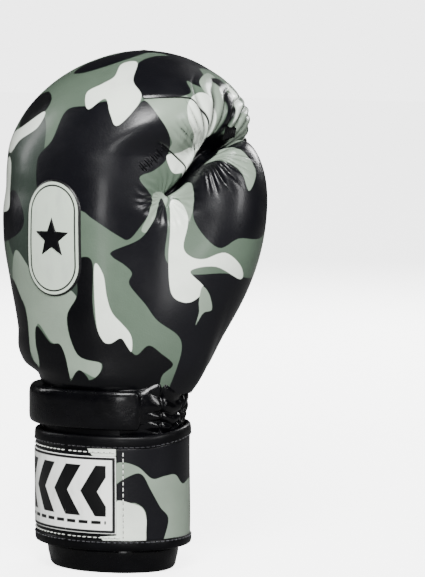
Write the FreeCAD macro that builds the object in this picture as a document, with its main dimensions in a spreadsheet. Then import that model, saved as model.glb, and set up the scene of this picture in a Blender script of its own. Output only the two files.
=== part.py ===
"""A padded sparring glove for the left hand, as a parametric FreeCAD document.

Millimetres, +Z up. The glove stands on the hem of its cuff with the fingers up. The back of the hand
faces -Y, the palm +Y, the thumb +X. The origin is the middle of the glove's footprint on the table.
Heights are above the table. Sideways places are from the cuff's own axis, at (cuff_x, cuff_y).
"""
import FreeCAD, Part
import Sketcher
import math
import os

V = FreeCAD.Vector
doc = FreeCAD.newDocument("glove")
sheet = doc.addObject("Spreadsheet::Sheet", "dims")

# ---- driving dimensions -------------------------------------------------------------------------
DRIVING = {
    "cuff_x": -5.2, "cuff_y": -21.9,      # the cuff's axis
    "flatten": 9.0,                       # half-width minus half-depth of every cuff ring
    "hand_a": 34.0,                       # half-width of the hand opening in the cuff
    "liner_t": 1.0, "leather_t": 1.6, "gap": 0.3,
    "cuff_shell_a": 40.9, "loop_a": 42.0, "hook_a": 43.1, "strap_a": 45.5, "binding_a": 46.3,
    "label_a": 46.4, "loop_t": 0.9, "hook_t": 0.8, "strap_t": 2.2, "label_t": 0.7,
    "hem_top": 15.0, "hem_a": 41.5, "hem_foot_a": 38.0,
    "strap_low": 21.2, "strap_high": 74.0, "binding_h": 6.0, "upper_binding_h": 7.0,
    "roll_low": 84.0, "roll_h": 21.0, "roll_a": 49.5,
    "split_w": 5.0, "split_x": -5.0,      # the cuff's slit, on the palm side
    "hinge_1": -51.5, "hinge_2": -148.0, "strap_end": -232.0, "strap_start": 106.0,
    "end_gap": 0.5,                       # degrees between two strap segments
    "mitt_low": 108.0,
    "foam_outer_t": 9.0, "outer_foam_low": 140.0,
    "foam_split_y": 26.0, "foam_split_z": 196.0,
    "web_t": 2.2,
    "thumb_wall": 1.6, "thumb_hole_r": 10.5,
    "grip_r": 8.0, "grip_len": 56.0, "grip_x": -3.0, "grip_y": 36.0, "grip_z": 207.0,
    "badge_w": 38.0, "badge_h": 68.0, "badge_x": -13.0, "badge_z": 196.0,
    "badge_t": 1.2, "star_t": 0.7, "star_r": 13.0,
    "keeper_w": 16.0, "keeper_y": 24.0, "keeper_z": 238.0,
    "palm_w": 62.0, "palm_x": -6.0, "palm_top": 206.0, "palm_y": 22.0,
}
# Egg-shaped mitt: height, back, palm, little-finger side and thumb side of each elliptical section.
MITT = [
    (108, -34, 34, -41, 41),
    (118, -38, 38, -48, 46),
    (141, -41, 42, -57, 52),
    (166, -43, 47, -64, 56),
    (194, -44, 55, -70, 60),
    (220, -43, 78, -73, 64),
    (245, -40, 90, -76, 66),
    (266, -31, 88, -68, 64),
    (282, -18, 80, -54, 54),
    (292, -3, 66, -39, 40),
    (298, 11, 53, -22, 26),
    (300, 22, 42, -9, 13),
]
# Thumb: height, centre and radius of each round section.
THUMB = [
    (118, 30, 8, 13),
    (138, 39, 11, 20),
    (162, 49, 16, 25.5),
    (187, 55.5, 20.5, 28),
    (209, 58, 24.5, 28.5),
    (227, 58.5, 28, 25),
    (240, 58.5, 30.5, 18),
    (247, 58.5, 31.5, 9),
]
# Space for the thumb: height and centre of each round section, from inside the hand's space to the thumb tip.
THUMB_WAY = [
    (128, 22, 6),
    (145, 36, 11),
    (166, 49, 16),
    (187, 55, 20.5),
    (209, 57.5, 24.5),
    (226, 58.5, 28),
]
# Space for the hand: height, centre and half-sizes of each elliptical section. The first five follow the cuff.
HAND = [
    (20, 0, 0, 34, 25),
    (45, 0, 0, 34, 25),
    (70, 0, 0, 34, 25),
    (92, 0, 0, 34, 25),
    (112, 0, 0, 35, 24),
    (140, -1, 0, 38, 20),
    (172, -2, 3, 41, 18),
    (204, -3, 9, 41, 16.5),
    (224, -3, 17, 37, 14.5),
    (238, -3, 26, 28, 10),
]

for row, (alias, value) in enumerate(DRIVING.items(), start=1):
    sheet.set(f"A{row}", alias)
    sheet.set(f"B{row}", str(value))
    sheet.setAlias(f"B{row}", alias)
doc.recompute()


def cell(alias):
    """The value of a cell, for the few shapes made directly with Part."""
    return float(sheet.get(alias))


# ---- building blocks ----------------------------------------------------------------------------
def add(kind, name, **expressions):
    """A document object whose properties are bound to the sheet; a dot in a property is written as __."""
    obj = doc.addObject(kind, name)
    for prop, expression in expressions.items():
        obj.setExpression(prop.replace("__", "."), str(expression))
    return obj


def at_cuff(obj, x="0", y="0", z="0"):
    """Puts obj at a place given from the cuff's axis."""
    obj.setExpression("Placement.Base.x", f"dims.cuff_x + ({x})")
    obj.setExpression("Placement.Base.y", f"dims.cuff_y + ({y})")
    obj.setExpression("Placement.Base.z", f"{z}")
    return obj


def cut(name, base, *tools):
    for i, tool in enumerate(tools):
        made = doc.addObject("Part::Cut", name if i == len(tools) - 1 else f"{name}_step{i}")
        made.Base, made.Tool = base, tool
        base = made
    return base


def common(name, base, tool):
    made = doc.addObject("Part::Common", name)
    made.Base, made.Tool = base, tool
    return made


def oval(name, a, b, x="0", y="0", z="0"):
    """A flat ellipse across the glove, with half-width a along X and half-depth b along Y, seam at -X."""
    made = add("Part::Ellipse", name, MajorRadius=a, MinorRadius=b)
    made.Placement.Rotation = FreeCAD.Rotation(V(0, 0, 1), 180)
    return at_cuff(made, x, y, z)


def loft(name, sections):
    made = doc.addObject("Part::Loft", name)
    made.Sections = sections
    made.Solid = True
    return made


def oval_bar(name, a, low, high):
    """A straight bar of elliptical section, concentric with the cuff."""
    base = oval(f"{name}_edge", a, f"({a}) - dims.flatten", z=low)
    made = add("Part::Extrusion", name, LengthFwd=f"({high}) - ({low})")
    made.Base, made.DirMode, made.Dir, made.Solid = base, "Custom", V(0, 0, 1), True
    return made


def oval_ring(name, outer, inner, low, high):
    core = oval_bar(f"{name}_core", inner, f"({low}) - 1", f"({high}) + 1")
    return cut(name, oval_bar(f"{name}_bar", outer, low, high), core)


def pie(name, start, sweep):
    """A tall sector about the cuff's axis, from the angle start through sweep, both in degrees."""
    made = add("Part::Cylinder", name, Angle=sweep, Placement__Rotation__Angle=start)
    made.Radius, made.Height = 120, 400
    made.Placement.Rotation = FreeCAD.Rotation(V(0, 0, 1), 1)
    return at_cuff(made, z="-50")


def block(name, length, width, height, x, y, z):
    return at_cuff(add("Part::Box", name, Length=length, Width=width, Height=height), x, y, z)


def mitt_loft(name, inset):
    """The mitt's outer form, shrunk by inset all round and reaching a little lower the more it is shrunk."""
    sections = []
    for i, (z, back, palm, little, thumb) in enumerate(MITT):
        half_x, half_y = (thumb - little) / 2, (palm - back) / 2
        lift = f"- ({inset}) * {0.2 if i == 0 else max(0.0, (z - 240) / 60):.4f}"
        sections.append(oval(f"{name}_{i}", f"{half_x} - ({inset}) * {shrink(half_x)}",
                             f"{half_y} - ({inset}) * {shrink(half_y)}",
                             (thumb + little) / 2, (palm + back) / 2, f"{z} {lift}"))
    return loft(name, sections)


def shrink(half):
    """Sections near the tip are small, so they shrink by less than the full inset."""
    return 1.0 if half > 40 else 0.45 + 0.55 * (half / 40)


def thumb_loft(name, inset):
    sections = []
    for i, (z, x, y, r) in enumerate(THUMB):
        lift = f"- ({inset}) * {(-1 if i == 0 else (z - 209) / 38 if z > 209 else 0):.4f}"
        radius = f"{r} - ({inset})"
        sections.append(oval(f"{name}_{i}", f"{radius} + 0.01", radius, x, y, f"{z} {lift}"))
    return loft(name, sections)


def hand_loft(name, grow, low):
    """The space for the hand, grown by grow, as a closed plug from the height low to the fingertips."""
    foot_a = f"dims.hand_a + ({grow})"
    sections = [oval(f"{name}_foot", foot_a, f"{foot_a} - dims.flatten", z=low)]
    for i, (z, x, y, a, b) in enumerate(HAND):
        lift = 1 if i == len(HAND) - 1 else 0
        height = f"{z} + ({grow}) * {lift}"
        sections.append(oval(f"{name}_{i}", f"{a} + ({grow})", f"{b} + ({grow})", x, y, height))
    return loft(name, sections)


def thumb_way(name, grow):
    """The space for the thumb, grown by grow."""
    sections = []
    for i, (z, x, y) in enumerate(THUMB_WAY):
        lift = 1 if i == len(THUMB_WAY) - 1 else 0
        radius = f"dims.thumb_hole_r + ({grow})"
        sections.append(oval(f"{name}_{i}", f"{radius} + 0.01", radius, x, y, f"{z} + ({grow}) * {lift}"))
    return loft(name, sections)


PARTS = {}


def part(label, obj):
    """Marks obj as a finished piece of the glove, written to parts/label.step."""
    obj.Label = label
    PARTS[label] = obj
    return obj


def sketch_on(body, name, role):
    sketch = body.newObject("Sketcher::SketchObject", name)
    plane = next(f for f in body.Origin.OriginFeatures if f.Role == role)
    sketch.AttachmentSupport, sketch.MapMode = [(plane, "")], "FlatFace"
    return sketch


# ---- cuff ---------------------------------------------------------------------------------------
slit_side = "dims.split_x - dims.split_w / 2"
slit = block("palm_slit", "dims.split_w", "80", "400", slit_side, "10", "-50")

hem_sections = [
    oval("hem_0", "dims.hem_foot_a", "dims.hem_foot_a - dims.flatten", z="0"),
    oval("hem_1", "dims.hem_a - 1", "dims.hem_a - 1 - dims.flatten", z="4"),
    oval("hem_2", "dims.hem_a", "dims.hem_a - dims.flatten", z="10"),
    oval("hem_3", "dims.hem_a - 1", "dims.hem_a - 1 - dims.flatten", z="dims.hem_top - 0.2"),
]
hem_hole = oval_bar("hem_hole", "dims.hand_a", "-5", "40")
part("hem_roll", cut("hem", loft("hem_form", hem_sections), hem_hole, slit))
shell_inner = "dims.cuff_shell_a - dims.leather_t"
cuff_tube = oval_ring("cuff_tube", "dims.cuff_shell_a", shell_inner, "dims.hem_top", "82")
part("cuff_shell", cut("cuff_shell_open", cuff_tube, slit))
foam_outer = f"{shell_inner} - dims.gap"
part("cuff_foam", cut("cuff_foam_open",
     oval_bar("cuff_foam_bar", foam_outer, "dims.hem_top + 0.2", "dims.mitt_low - 0.3"),
     oval_bar("cuff_foam_hole", "dims.hand_a + dims.liner_t + dims.gap + 0.6", "0", "120"), slit))
liner_outer = hand_loft("liner_outer", "dims.liner_t", "0")
liner_inner = hand_loft("liner_inner", "0", "-1")
liner_below = block("liner_below", "300", "300", "dims.hem_top + 5.2", "-150", "-150", "-5")
cuff_slit = block("cuff_only_slit", "dims.split_w", "80", "dims.mitt_low", slit_side, "10", "-1")
thumb_hole = thumb_way("thumb_hole", "0")
thumb_tube = thumb_way("thumb_tube", "dims.liner_t")
tube_room = thumb_way("tube_room", "dims.liner_t + dims.gap")
hand_room = hand_loft("hand_room", "dims.liner_t + dims.gap", "0")
part("hand_liner", cut("liner_open", liner_outer, liner_inner, liner_below, cuff_slit, tube_room))

# the soft neck between cuff and mitt, and the padded roll over the back of the wrist
neck_sections = [
    oval("neck_0", "dims.cuff_shell_a + 0.6", "dims.cuff_shell_a + 0.6 - dims.flatten", z="82.3"),
    oval("neck_1", "dims.cuff_shell_a - 0.4", "dims.cuff_shell_a - 0.4 - dims.flatten", z="95"),
    oval("neck_2", "dims.cuff_shell_a - 0.3", "dims.cuff_shell_a - 6.3 - 1", z="dims.mitt_low - 0.3"),
]
neck_core = oval_bar("neck_core", shell_inner, "70", "120")
part("wrist_gusset", cut("neck_open", loft("neck_form", neck_sections), neck_core))
roll_ring = oval_ring("roll_ring", "dims.roll_a", "dims.cuff_shell_a + 1",
                      "dims.roll_low", "dims.roll_low + dims.roll_h")
roll_arc = common("roll_arc", roll_ring, pie("roll_pie", "-208", "158"))
doc.recompute()
roll = doc.addObject("Part::Fillet", "roll_rounded")
roll.Base = roll_arc


def long_outer_edges(shape, half_width, heights):
    """Numbers of the edges that run round the outside of the roll at the given heights."""
    found = []
    for number, edge in enumerate(shape.Edges, start=1):
        box = edge.BoundBox
        level = box.ZLength < 0.01 and any(abs(box.ZMin - h) < 0.01 for h in heights)
        if level and box.XMin < cell("cuff_x") - half_width + 1:
            found.append(number)
    return found


roll_heights = (cell("roll_low"), cell("roll_low") + cell("roll_h"))
roll.Edges = [(n, 7.0, 7.0) for n in long_outer_edges(roll_arc.Shape, cell("roll_a"), roll_heights)]
part("wrist_roll", roll)

# ---- wrist strap: a sewn-down base and two peeling segments ---------------------------------------
# The base starts on the palm side past the slit, and runs over the thumb side to the back of the wrist.
SEGMENTS = {
    "base": ("dims.hinge_1", "dims.strap_start - dims.hinge_1"),
    "mid": ("dims.hinge_2", "dims.hinge_1 - dims.end_gap - dims.hinge_2"),
    "tip": ("dims.strap_end", "dims.hinge_2 - dims.end_gap - dims.strap_end"),
}
for name, (start, sweep) in SEGMENTS.items():
    inner = "dims.loop_a - dims.loop_t" if name == "base" else "dims.strap_a - dims.strap_t"
    band = oval_ring(f"{name}_band", "dims.strap_a", inner, "dims.strap_low", "dims.strap_high")
    part(f"strap_{name}", common(f"{name}_strap", band, pie(f"{name}_strap_pie", start, sweep)))
    for edge, low, high in (
        ("lower", "dims.strap_low - 0.2 - dims.binding_h", "dims.strap_low - 0.2"),
        ("upper", "dims.strap_high + 0.2", "dims.strap_high + 0.2 + dims.upper_binding_h"),
    ):
        ring = oval_ring(f"{name}_{edge}_ring", "dims.binding_a", "dims.strap_a - dims.strap_t", low, high)
        sector = pie(f"{name}_{edge}_pie", start, sweep)
        part(f"strap_{name}_{edge}_binding", common(f"{name}_{edge}_binding", ring, sector))
    if name != "base":
        hook = oval_ring(f"{name}_hook_ring", "dims.hook_a", "dims.hook_a - dims.hook_t",
                         "dims.strap_low + 3", "dims.strap_high - 3")
        hook_pie = pie(f"{name}_hook_pie", f"({start}) + 3", f"({sweep}) - 6")
        part(f"hook_patch_{name}", common(f"{name}_hook", hook, hook_pie))
        label = oval_ring(f"{name}_label_ring", "dims.label_a", "dims.strap_a + 0.1",
                          "dims.strap_low + 4", "dims.strap_high - 5")
        inset = ("0", "4") if name == "mid" else ("24", "24")
        part(f"label_{name}", common(f"{name}_label", label,
             pie(f"{name}_label_pie", f"({start}) + {inset[0]}", f"({sweep}) - {inset[1]}")))
loop_ring = oval_ring("loop_ring", "dims.loop_a", "dims.loop_a - dims.loop_t",
                      "dims.strap_low + 2", "dims.strap_high - 2")
loop_sweep = "dims.hinge_1 - dims.end_gap - dims.strap_end - 4"
loop_arc = common("loop_arc", loop_ring, pie("loop_pie", "dims.strap_end + 2", loop_sweep))
part("loop_patch", cut("loop_open", loop_arc, slit))

# ---- mitt ---------------------------------------------------------------------------------------
form = mitt_loft("mitt_form", "0")
under_leather = mitt_loft("mitt_under_leather", "dims.leather_t")
foam_top = mitt_loft("mitt_foam_top", "dims.leather_t + dims.gap")
foam_between = mitt_loft("mitt_foam_between", "dims.foam_outer_t")
foam_below = mitt_loft("mitt_foam_below", "dims.foam_outer_t + dims.gap")
thumb_room = thumb_loft("thumb_room", "-dims.web_t - 2 * dims.gap")

leather = cut("mitt_leather", form, under_leather, thumb_room)
palm_box = block("palm_box", "dims.palm_w", "120", "dims.palm_top - 60",
                 "dims.palm_x - dims.palm_w / 2", "dims.palm_y", "60")
palm_room = block("palm_room", "dims.palm_w + 2 * dims.gap", "120", "dims.palm_top - 60 + dims.gap",
                  "dims.palm_x - dims.palm_w / 2 - dims.gap", "dims.palm_y - dims.gap", "60")
part("palm_panel", common("palm", leather, palm_box))
part("back_shell", cut("back", leather, palm_room))

palm_side = block("palm_side", "300", "200", "300", "-150", "dims.foam_split_y + dims.gap / 2",
                  "dims.mitt_low + dims.gap")
upper_side = block("upper_side", "300", "300", "200", "-150", "-150", "dims.foam_split_z + dims.gap / 2")
lower_side = block("lower_side", "300", "300", "200", "-150", "-150",
                   "dims.foam_split_z - 200 - dims.gap / 2")
above_wrist = block("above_wrist", "300", "200", "300", "-150", "dims.foam_split_y - 200 - dims.gap / 2",
                    "dims.outer_foam_low")
outer_back = common("outer_back", foam_top, above_wrist)
part("impact_foam_outer", cut("outer_layer", outer_back, foam_between, thumb_room))
inner_back = common("inner_back", foam_below, above_wrist)
part("impact_foam_inner", cut("inner_layer", inner_back, hand_room, thumb_room, tube_room))

wrist_slab = block("wrist_slab", "300", "200", "dims.outer_foam_low - dims.mitt_low - 2 * dims.gap", "-150",
                   "dims.foam_split_y - 200 - dims.gap / 2", "dims.mitt_low + dims.gap")
part("wrist_foam", cut("wrist_layer", common("wrist_half", foam_top, wrist_slab), hand_room, thumb_room))

grip_body = doc.addObject("PartDesign::Body", "grip_body")
grip_sketch = sketch_on(grip_body, "grip_circle", "YZ_Plane")
circle = grip_sketch.addGeometry(Part.Circle(V(0, 0, 0), V(0, 0, 1), 8), False)
grip_sketch.addConstraint(Sketcher.Constraint("Coincident", circle, 3, -1, 1))
grip_sketch.addConstraint(Sketcher.Constraint("Radius", circle, 8))
grip_sketch.setExpression("Constraints[1]", "dims.grip_r")
grip_pad = grip_body.newObject("PartDesign::Pad", "grip_pad")
grip_pad.Profile = grip_sketch
grip_pad.setExpression("Length", "dims.grip_len")
grip_pad.Midplane = True
doc.recompute()
grip_round = grip_body.newObject("PartDesign::Fillet", "grip_round")
grip_rims = [f"Edge{i}" for i, e in enumerate(grip_pad.Shape.Edges, 1) if len(e.Vertexes) == 1]
grip_round.Base = (grip_pad, grip_rims)
grip_round.Radius = 3
grip_body.Tip = grip_round
at_cuff(grip_body, "dims.grip_x", "dims.grip_y", "dims.grip_z")
grip_room = add("Part::Cylinder", "grip_room", Radius="dims.grip_r + dims.gap",
                Height="dims.grip_len + 2 * dims.gap")
grip_room.Placement.Rotation = FreeCAD.Rotation(V(0, 1, 0), 90)
at_cuff(grip_room, "dims.grip_x - dims.grip_len / 2 - dims.gap", "dims.grip_y", "dims.grip_z")
part("grip_bar", grip_body)

palm_half = common("palm_half", foam_top, palm_side)
finger_half = common("finger_half", palm_half, upper_side)
part("finger_foam", cut("finger_open", finger_half, grip_room, hand_room, thumb_room))
heel_half = common("heel_half", palm_half, lower_side)
part("palm_foam", cut("heel_open", heel_half, thumb_room, hand_room, tube_room))

# ---- thumb --------------------------------------------------------------------------------------
# The web is the skin that closes the cleft between thumb and mitt. Its upper end is the elastic keeper.
web_outer = thumb_loft("web_outer", "-dims.web_t - dims.gap")
web_inner = thumb_loft("web_inner", "-dims.gap")
keeper_box = block("keeper_box", "80", "dims.keeper_w", "60", "10", "dims.keeper_y", "dims.keeper_z")
keeper_room = block("keeper_room", "80", "dims.keeper_w + 2 * dims.gap", "60 + dims.gap",
                    "10", "dims.keeper_y - dims.gap", "dims.keeper_z - dims.gap")
web_low = cut("web_low", web_outer, keeper_room, web_inner, hand_room, tube_room)
part("thumb_web", common("web", form, web_low))
web_high = cut("web_high", common("keeper_block", web_outer, keeper_box), web_inner)
part("thumb_keeper", common("keeper", form, web_high))

# The thumb's leather is sewn from an outer and an inner panel, meeting on an upright plane.
thumb_form = thumb_loft("thumb_form", "0")
thumb_core = thumb_loft("thumb_core", "dims.thumb_wall")
thumb_skin = cut("thumb_skin", thumb_form, thumb_core, hand_room, tube_room)
outer_side = block("outer_side", "120", "200", "400", "8", "-62", "0")
outer_side.Placement.Rotation = FreeCAD.Rotation(V(0, 0, 1), -30)
outer_room = block("outer_room", "120", "200", "400", "8 - dims.gap * 0.866", "-62 + dims.gap * 0.5", "0")
outer_room.Placement.Rotation = FreeCAD.Rotation(V(0, 0, 1), -30)
part("thumb_outer_panel", common("thumb_outer", thumb_skin, outer_side))
part("thumb_inner_panel", cut("thumb_inner", thumb_skin, outer_room))
thumb_foam_form = thumb_loft("thumb_foam_form", "dims.thumb_wall + dims.gap")
part("thumb_foam", cut("thumb_foam_open", thumb_foam_form, hand_room, tube_room))
part("thumb_liner", cut("thumb_liner_open", thumb_tube, thumb_hole, hand_room))

# ---- badge on the back of the hand -----------------------------------------------------------------
def flat_outline(name, points, round_ends=False):
    """A PartDesign block 80 deep, whose outline in the upright plane goes through the points in order."""
    body = doc.addObject("PartDesign::Body", name)
    sketch = sketch_on(body, f"{name}_outline", "XZ_Plane")
    count = len(points)
    for i in range(count):
        start, end = points[i], points[(i + 1) % count]
        if round_ends and i % 2:
            middle = V((start.x + end.x) / 2, start.y + start.y / abs(start.y) * abs(start.x - end.x) / 2, 0)
            sketch.addGeometry(Part.Arc(start, middle, end), False)
        else:
            sketch.addGeometry(Part.LineSegment(start, end), False)
    pad = body.newObject("PartDesign::Pad", f"{name}_pad")
    pad.Profile = sketch
    pad.Length = 80
    body.Tip = pad
    return at_cuff(body, "dims.badge_x", "0", "dims.badge_z")


def skin_of_mitt(name, low, thickness, outline):
    """A patch that lies on the mitt, low above its leather, with the outline's shape."""
    outer = mitt_loft(f"{name}_out", f"-({low}) - ({thickness})")
    inner = mitt_loft(f"{name}_in", f"-({low})")
    return common(name, cut(f"{name}_skin", outer, inner), outline)


half_w, half_s = cell("badge_w") / 2, (cell("badge_h") - cell("badge_w")) / 2
pill = [V(half_w, -half_s, 0), V(half_w, half_s, 0), V(-half_w, half_s, 0), V(-half_w, -half_s, 0)]
part("badge_panel", skin_of_mitt("badge", "dims.gap", "dims.badge_t", flat_outline("badge_pill", pill, True)))
star = []
for i in range(10):
    radius = cell("star_r") * (1 if i % 2 == 0 else 0.42)
    turn = math.pi / 2 + i * math.pi / 5
    star.append(V(radius * math.cos(turn), radius * math.sin(turn), 0))
star_outline = flat_outline("star_shape", star)
part("badge_star", skin_of_mitt("star", "dims.badge_t + 2 * dims.gap", "dims.star_t", star_outline))

doc.recompute()

# ---- checks and files -------------------------------------------------------------------------------
failed = [o.Name for o in doc.Objects if set(o.State) & {"Invalid", "Error"}]
if failed:
    raise SystemExit(f"these objects failed: {failed}")
os.makedirs("parts", exist_ok=True)
for label, obj in PARTS.items():
    shape = obj.Shape
    if shape.isNull() or not shape.isValid() or len(shape.Solids) != 1 or shape.Volume < 100:
        raise SystemExit(f"{label} isn't one valid solid: {len(shape.Solids)} solids, {shape.Volume:.0f} mm3")
    shape.exportStep(f"parts/{label}.step")
    box = shape.optimalBoundingBox(True, False)
    print(f"{label:20s} {len(shape.Solids)} solids {shape.Volume / 1000:8.1f} cm3 "
          f"x {box.XMin:6.1f} {box.XMax:6.1f} y {box.YMin:6.1f} {box.YMax:6.1f} z {box.ZMin:6.1f} {box.ZMax:6.1f}")
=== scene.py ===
import bpy
import math
import numpy as np
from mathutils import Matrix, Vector


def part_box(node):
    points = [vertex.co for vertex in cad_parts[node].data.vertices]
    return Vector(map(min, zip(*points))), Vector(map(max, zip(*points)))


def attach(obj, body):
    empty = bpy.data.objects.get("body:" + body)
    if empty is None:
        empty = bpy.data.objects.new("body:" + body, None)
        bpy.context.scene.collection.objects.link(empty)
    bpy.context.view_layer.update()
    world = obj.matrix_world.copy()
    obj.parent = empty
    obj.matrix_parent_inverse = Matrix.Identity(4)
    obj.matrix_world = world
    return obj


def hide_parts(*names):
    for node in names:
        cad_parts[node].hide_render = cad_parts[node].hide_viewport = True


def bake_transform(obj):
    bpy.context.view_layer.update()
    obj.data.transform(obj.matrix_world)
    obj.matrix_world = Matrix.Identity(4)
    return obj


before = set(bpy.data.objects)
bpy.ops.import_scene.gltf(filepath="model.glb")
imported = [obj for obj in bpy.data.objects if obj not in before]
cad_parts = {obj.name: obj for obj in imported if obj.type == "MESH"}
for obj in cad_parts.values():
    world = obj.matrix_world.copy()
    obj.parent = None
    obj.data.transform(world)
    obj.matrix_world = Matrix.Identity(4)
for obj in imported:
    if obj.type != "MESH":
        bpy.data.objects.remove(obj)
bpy.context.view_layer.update()        # frame["bodies"], ["nodes"], ["joints"], ["record"]

# Lengths below are millimetres from the cuff's axis on the table: X to the thumb, Y to the palm, Z up.
# A place on the back of the glove is also written (u, z): u is measured along ACROSS, and FACING is the
# way that this side of the glove faces.
shell_low, shell_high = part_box("cuff_shell")
AXIS = np.array([(shell_low.x + shell_high.x) * 500, (shell_low.y + shell_high.y) * 500, 0.0])
VIEW_TURN = 30.0         # degrees from the back of the hand to the side that PATCHES are placed from
TURN = math.radians(VIEW_TURN)
ACROSS = np.array([math.cos(TURN), math.sin(TURN), 0.0])
FACING = np.array([math.sin(TURN), -math.cos(TURN), 0.0])
FLATTEN = 9.0            # half-width minus half-depth of every ring of the cuff
PER_DEGREE = .72         # how far one degree goes round the strap, about
UP = (0, 0, 1)
MM = .001
rng = np.random.default_rng(7)


# ---- small tools --------------------------------------------------------------------------------
def ramp(x, low, high):
    t = np.clip((x - low) / (high - low), 0, 1)
    return t * t * (3 - 2 * t)


def through(xs, ys, x):
    """Smooth curve through the rows ys at xs, read at x."""
    xs, ys = np.asarray(xs, float), np.asarray(ys, float)
    slope = np.gradient(ys, xs, axis=0)
    i = np.clip(np.searchsorted(xs, x) - 1, 0, len(xs) - 2)
    h = (xs[i + 1] - xs[i])[:, None]
    t = np.clip((x - xs[i])[:, None] / h, 0, 1)
    return ((2 * t**3 - 3 * t**2 + 1) * ys[i] + (t**3 - 2 * t**2 + t) * h * slope[i]
            + (3 * t**2 - 2 * t**3) * ys[i + 1] + (t**3 - t**2) * h * slope[i + 1])


def smooth_line(points, closed, steps=6):
    """Points along a smooth curve through the given ones."""
    p = np.asarray(points, float)
    n = len(p)
    if closed:
        q = np.vstack([p[-1:], p, p[:2]])
        spans = n
    else:
        q = np.vstack([2 * p[:1] - p[1:2], p, 2 * p[-1:] - p[-2:-1]])
        spans = n - 1
    t = np.linspace(0, 1, steps, endpoint=False)[:, None]
    out = []
    for i in range(spans):
        a, b, c, d = q[i], q[i + 1], q[i + 2], q[i + 3]
        out.append(.5 * (2 * b + (c - a) * t + (2 * a - 5 * b + 4 * c - d) * t**2
                         + (3 * b - a - 3 * c + d) * t**3))
    if not closed:
        out.append(p[-1:])
    return np.vstack(out)


def near_line(p, line):
    """Distance from each point to an open line, how far along it that is, and the side (2-D only)."""
    best = np.full(len(p), 1e9)
    along = np.zeros(len(p))
    side = np.ones(len(p))
    run = 0.0
    for a, b in zip(line[:-1], line[1:]):
        ab = b - a
        size = np.linalg.norm(ab)
        t = np.clip((p - a) @ ab / size**2, 0, 1)
        off = p - a - t[:, None] * ab
        d = np.linalg.norm(off, axis=1)
        near = d < best
        best[near] = d[near]
        along[near] = run + t[near] * size
        if p.shape[1] == 2:
            side[near] = np.sign(ab[0] * off[near, 1] - ab[1] * off[near, 0])
        run += size
    return best, along, side


FAR_INSIDE = 9.0         # distances to an outline are cut off here


def inside_by(p, outline):
    """How far inside a closed outline each 2-D point is; outside is negative."""
    out = np.full(len(p), -FAR_INSIDE)
    low, high = outline.min(0) - FAR_INSIDE, outline.max(0) + FAR_INSIDE
    near = np.where(((p > low) & (p < high)).all(1))[0]
    if not len(near):
        return out
    q = p[near]
    d = np.full(len(q), 1e9)
    odd = np.zeros(len(q), bool)
    for a, b in zip(outline, np.roll(outline, -1, 0)):
        ab = b - a
        t = np.clip((q - a) @ ab / max(ab @ ab, 1e-9), 0, 1)
        d = np.minimum(d, np.linalg.norm(q - a - t[:, None] * ab, axis=1))
        crosses = (a[1] > q[:, 1]) != (b[1] > q[:, 1])
        if crosses.any():
            x = a[0] + (q[:, 1] - a[1]) * ab[0] / (ab[1] if ab[1] else 1e-9)
            odd ^= crosses & (q[:, 0] < x)
    out[near] = np.clip(np.where(odd, d, -d), -FAR_INSIDE, FAR_INSIDE)
    return out


LATTICE = rng.random((32, 32, 32))
SKEW = np.linalg.qr(rng.normal(size=(3, 3)))[0]      # turns the noise's lattice away from the object's axes


def cloud(p, size, shift):
    """Smooth seeded noise from -1 to 1 with features of about `size`."""
    q = p @ SKEW / size + shift
    i = np.floor(q).astype(int)
    f = q - i
    f = f * f * (3 - 2 * f)
    total = 0.0
    for dx in (0, 1):
        for dy in (0, 1):
            for dz in (0, 1):
                w = (np.abs(1 - dx - f[:, 0]) * np.abs(1 - dy - f[:, 1]) * np.abs(1 - dz - f[:, 2]))
                total = total + w * LATTICE[(i[:, 0] + dx) % 32, (i[:, 1] + dy) % 32, (i[:, 2] + dz) % 32]
    return 2 * total - 1


def grid_quads(i):
    """Quads of an open grid of point numbers."""
    return np.stack([i[:-1, :-1], i[1:, :-1], i[1:, 1:], i[:-1, 1:]], -1).reshape(-1, 4)


def ring_quads(i, closed=False):
    """Quads between rows of point numbers; each row is a ring, and the last row joins the first if closed."""
    a, b = (i, np.roll(i, -1, 0)) if closed else (i[:-1], i[1:])
    return np.stack([a, np.roll(a, -1, 1), np.roll(b, -1, 1), b], -1).reshape(-1, 4)


def round_turn(n):
    return np.linspace(0, 2 * math.pi, n, endpoint=False)


def piece(name, verts, faces, **values):
    """A mesh object from millimetre points; values are numbers kept at each vertex for its material."""
    mesh = bpy.data.meshes.new(name)
    mesh.from_pydata(((np.asarray(verts) + AXIS) * MM).tolist(), [],
                     faces.tolist() if isinstance(faces, np.ndarray) else faces)
    mesh.polygons.foreach_set("use_smooth", [True] * len(mesh.polygons))
    for key, value in values.items():
        mesh.attributes.new(key, "FLOAT", "POINT").data.foreach_set("value", np.asarray(value, np.float32))
    mesh.update()
    obj = bpy.data.objects.new(name, mesh)
    bpy.context.collection.objects.link(obj)
    return obj


def finish_piece(obj, material, body, nodes=()):
    """Gives a piece its look and hides the CAD nodes that it stands for; a piece on a body is parented to it,
    one on a bend is only baked in place.
    """
    obj.data.materials.append(material)
    if nodes:
        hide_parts(*nodes)
    if isinstance(body, str):
        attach(obj, body)
    else:
        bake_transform(obj)


# ---- materials ----------------------------------------------------------------------------------
def colour(code):
    c = [int(code[i:i + 2], 16) / 255 for i in (0, 2, 4)]
    return [((v + .055) / 1.055)**2.4 if v > .04045 else v / 12.92 for v in c] + [1.0]


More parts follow.
